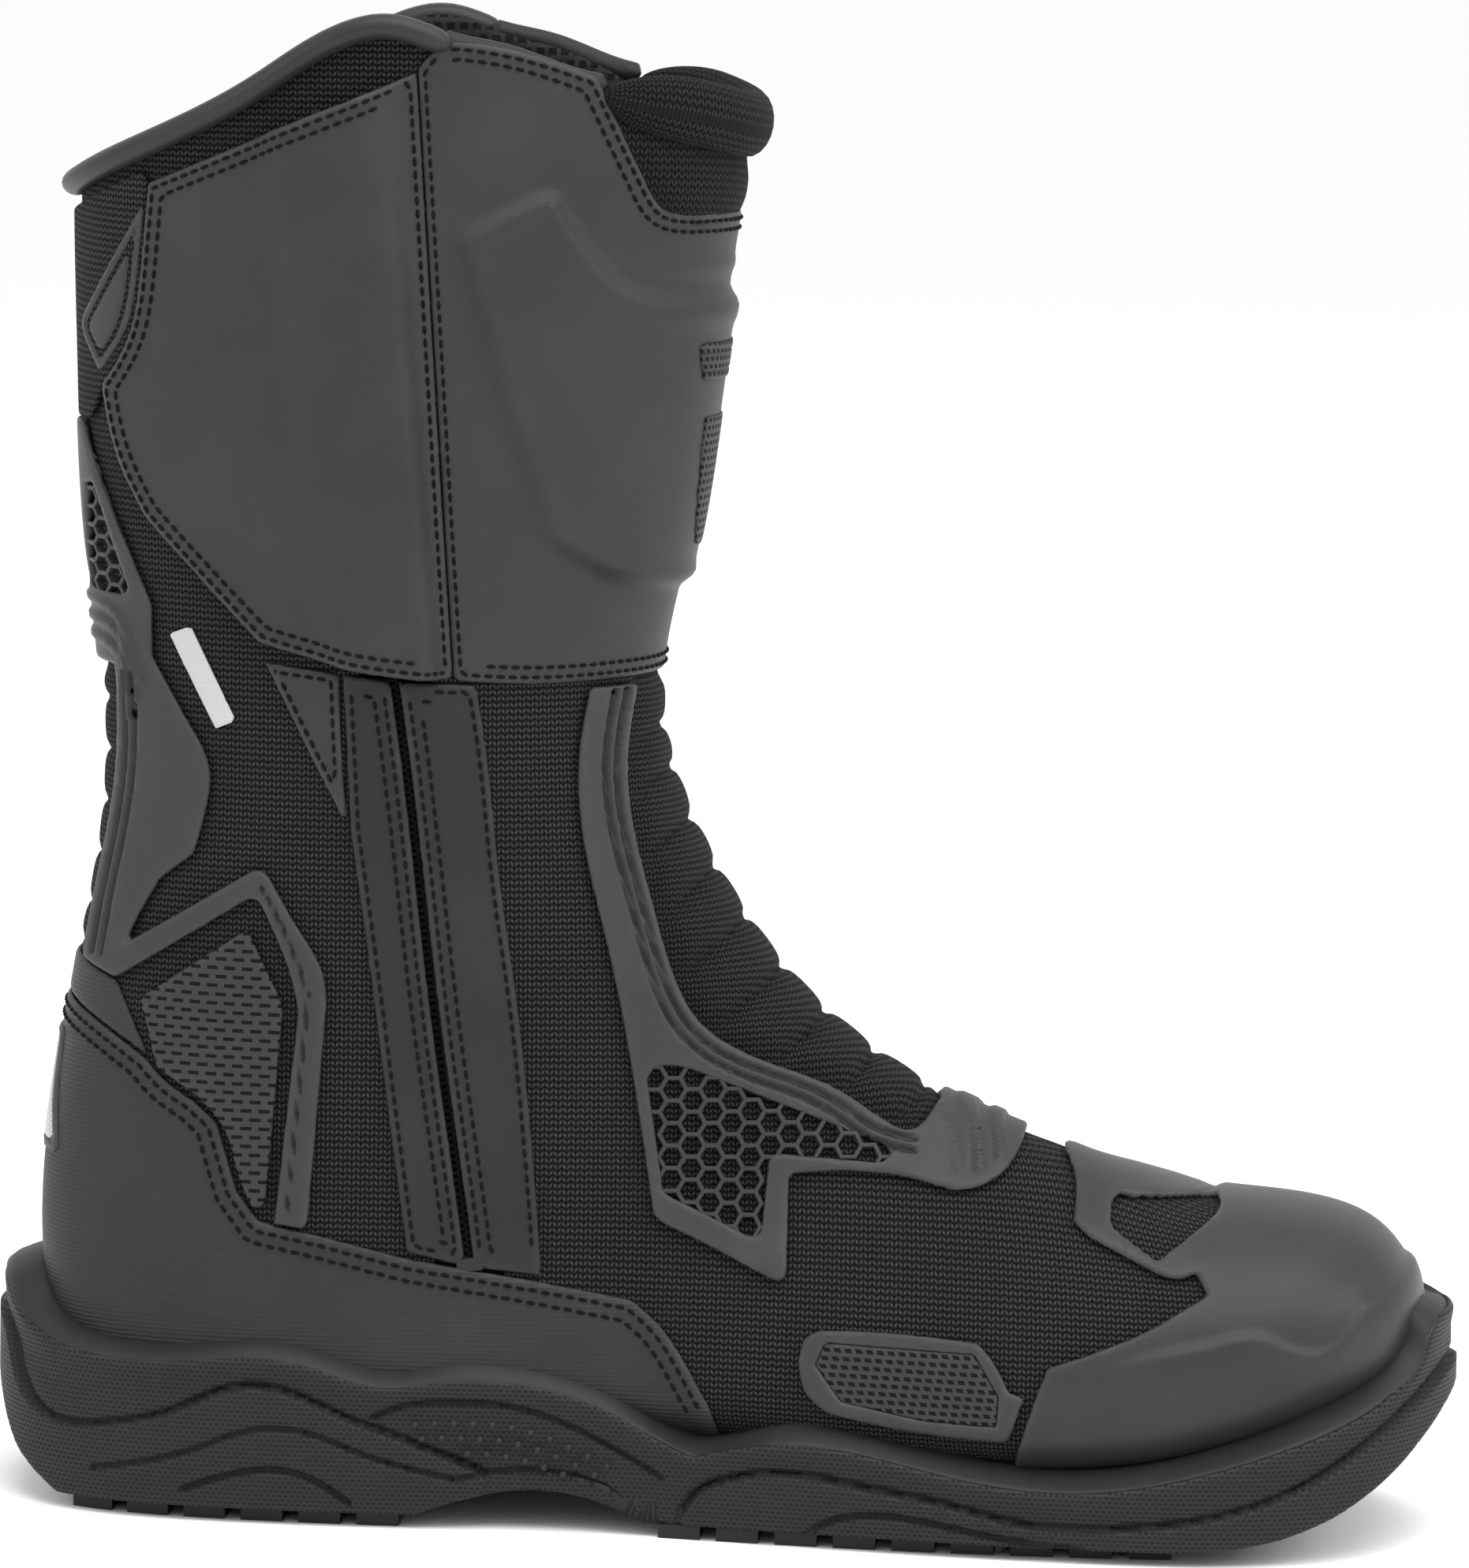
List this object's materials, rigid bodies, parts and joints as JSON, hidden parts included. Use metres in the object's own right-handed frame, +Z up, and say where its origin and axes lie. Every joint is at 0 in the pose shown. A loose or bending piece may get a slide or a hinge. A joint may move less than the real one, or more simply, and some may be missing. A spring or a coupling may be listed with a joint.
{
  "type": "motorcycle riding boot",
  "caption": "Tall motorcycle touring boot with moulded ankle frames, stretch bellows at instep and heel, a side zip under a calf flap and a cupped rubber sole.",
  "frame": {"origin": "on the ground, under the middle of the boot's bounding box", "axes": "+X to the toe, +Y to the outer side, -Y to the inner (zip) side, +Z up"},
  "size_m": [0.314, 0.1109, 0.3211],
  "materials": {
    "sole_rubber": "matte moulded rubber with fine grid texture",
    "leather": "matte full-grain microfibre leather",
    "moulded": "satin moulded thermoplastic",
    "textile": "coarse black weave",
    "knit": "black stretch knit",
    "lining": "perforated mesh lining",
    "membrane": "thin waterproof film",
    "foam": "open-cell foam",
    "board": "stiff fibre board",
    "hook_tape": "woven nylon",
    "reflective": "dark reflective film",
    "label": "white woven, blank",
    "steel": "dark metal"
  },
  "bodies": {
    "foot": {"outsole": "sole_rubber", "heel_lugs": "sole_rubber", "forefoot_lugs": "sole_rubber", "midsole": "sole_rubber", "shank": "steel", "lasting_board": "board", "insole": "foam", "toe_puff": "board", "heel_counter": "board", "quarter_textile": "textile", "ankle_textile_near": "textile", "ankle_textile_far": "textile", "instep_bellows": "knit", "rear_bellows": "knit", "lining": "lining", "membrane": "membrane", "ankle_padding": "foam", "toe_guard": "leather", "heel_overlay": "leather", "heel_top_patch": "leather", "reflective_heel_insert": "reflective", "gear_pad_near": "moulded", "gear_pad_far": "moulded", "ankle_guard_near": "moulded", "ankle_guard_far": "moulded", "instep_frame": "moulded", "rear_frame": "moulded", "sewn_label": "label", "zip_gore": "leather", "zip_strip_rear": "leather", "zip_strip_front": "leather", "zip_tape_rear": "hook_tape", "zip_tape_front": "hook_tape", "zip_coil_rear": "hook_tape", "zip_coil_front": "hook_tape", "zip_bottom_stop": "steel"},
    "shaft": {"shaft_textile": "textile", "collar_padding": "foam", "shin_guard_plate": "board", "rear_collar_roll": "leather", "front_rim_binding": "leather", "front_collar_pad": "knit", "front_collar_knit": "knit", "rear_collar_knit": "knit", "shin_panel": "leather", "calf_panel": "leather", "loop_patch": "hook_tape", "badge_plate": "moulded", "zip_top_stops": "steel"},
    "flap": {"calf_flap": "leather", "flap_hook_patch": "hook_tape"},
    "slider": {"zip_slider": "steel", "zip_puller": "hook_tape"}
  },
  "joints": [
    {"name": "ankle_flex", "type": "hinge", "parent": "foot", "child": "shaft", "pos_m": [-0.078, 0, 0.108], "axis": [0, 1, 0], "range_deg": [-6, 14], "stiffness_Nm_per_rad": 10, "deforming": ["lining", "membrane", "ankle_padding", "ankle_textile_near", "ankle_textile_far", "instep_bellows", "rear_bellows", "instep_frame", "rear_frame", "zip_gore", "zip_strip_rear", "zip_strip_front", "zip_tape_rear", "zip_tape_front", "zip_coil_rear", "zip_coil_front", "sewn_label"]},
    {"name": "flap_open", "type": "hinge", "parent": "shaft", "child": "flap", "pos_m": [-0.0566, -0.04873, 0.1815], "axis": [-0.0656, -0.0604, 0.996], "range_deg": [0, 150]},
    {"name": "zip_run", "type": "slide", "parent": "shaft", "child": "slider", "axis": [-0.1321, -0.0356, 0.9906], "range_m": [-0.23073, 0]}
  ]
}
